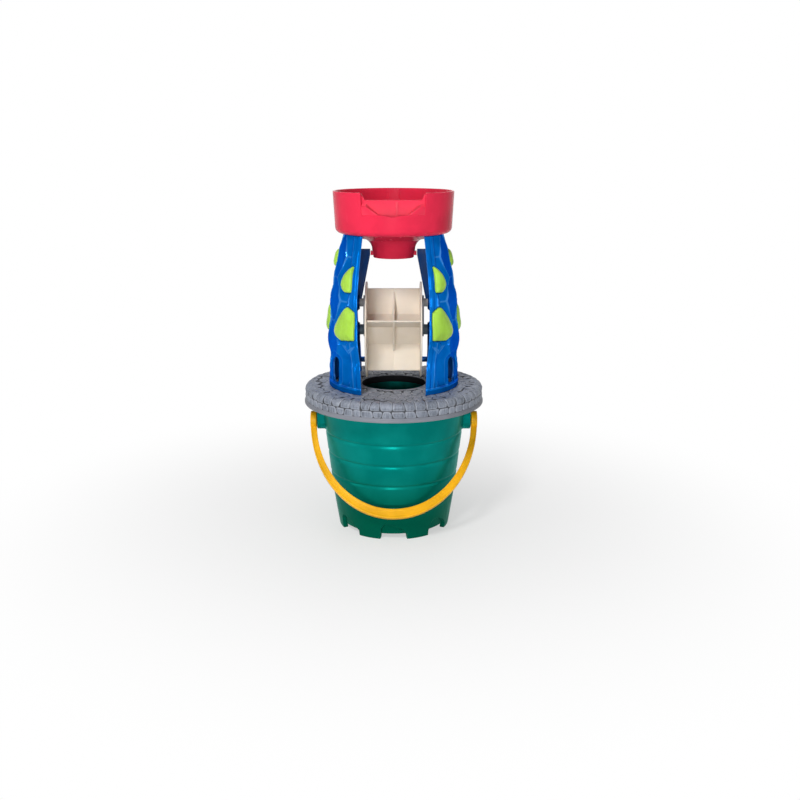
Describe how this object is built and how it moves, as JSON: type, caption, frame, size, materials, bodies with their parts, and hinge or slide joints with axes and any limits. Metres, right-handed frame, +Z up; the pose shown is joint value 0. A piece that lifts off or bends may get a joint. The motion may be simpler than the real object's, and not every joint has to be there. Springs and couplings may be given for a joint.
{
  "type": "sand wheel toy",
  "caption": "Sand wheel toy: a pail with a swinging handle, and a lift-off lid whose two towers hold a turning paddle wheel under a lift-off hopper.",
  "frame": {"origin": "centre of the pail's foot, on the surface that it stands on", "axes": "+Z up, -Y to the front where the hopper's notch and the handle are, +X to the right along the wheel's axle"},
  "size_m": [0.19, 0.19, 0.3563],
  "materials": {
    "pail_green": "pearly gloss",
    "handle_yellow": "satin gloss",
    "lid_grey": "matte stone relief",
    "tower_blue": "gloss",
    "hanger_grey": "satin",
    "axle_steel": "drawn rod",
    "wheel_cream": "satin",
    "hopper_red": "gloss",
    "scale_green": "gloss"
  },
  "bodies": {
    "pail": {"bucket": "pail_green"},
    "handle": {"bail_handle": "handle_yellow"},
    "mill": {"lid": "lid_grey", "left_tower": "tower_blue", "right_tower": "tower_blue", "left_axle_hanger": "hanger_grey", "right_axle_hanger": "hanger_grey", "rear_tie_bar": "tower_blue", "left_front_upper_scale": "scale_green", "left_front_lower_scale": "scale_green", "left_side_upper_scale": "scale_green", "left_side_lower_scale": "scale_green", "left_rear_upper_scale": "scale_green", "left_rear_lower_scale": "scale_green", "right_front_upper_scale": "scale_green", "right_front_lower_scale": "scale_green", "right_side_upper_scale": "scale_green", "right_side_lower_scale": "scale_green", "right_rear_upper_scale": "scale_green", "right_rear_lower_scale": "scale_green"},
    "wheel": {"axle": "axle_steel", "wheel_left_half": "wheel_cream", "wheel_right_half": "wheel_cream"},
    "hopper": {"hopper": "hopper_red"}
  },
  "joints": [
    {"name": "handle_swing", "type": "hinge", "parent": "pail", "child": "handle", "pos_m": [0, 0, 0.1143], "axis": [-1, 0, 0], "range_deg": [0, 60]},
    {"name": "mill_lift_off", "type": "slide", "parent": "pail", "child": "mill", "axis": [0, 0, 1], "range_m": [0, 0.06]},
    {"name": "wheel_spin", "type": "hinge", "parent": "mill", "child": "wheel", "pos_m": [0, 0, 0.213], "axis": [1, 0, 0], "continuous": true},
    {"name": "hopper_lift_off", "type": "slide", "parent": "mill", "child": "hopper", "axis": [0, 0, 1], "range_m": [0, 0.06]}
  ]
}
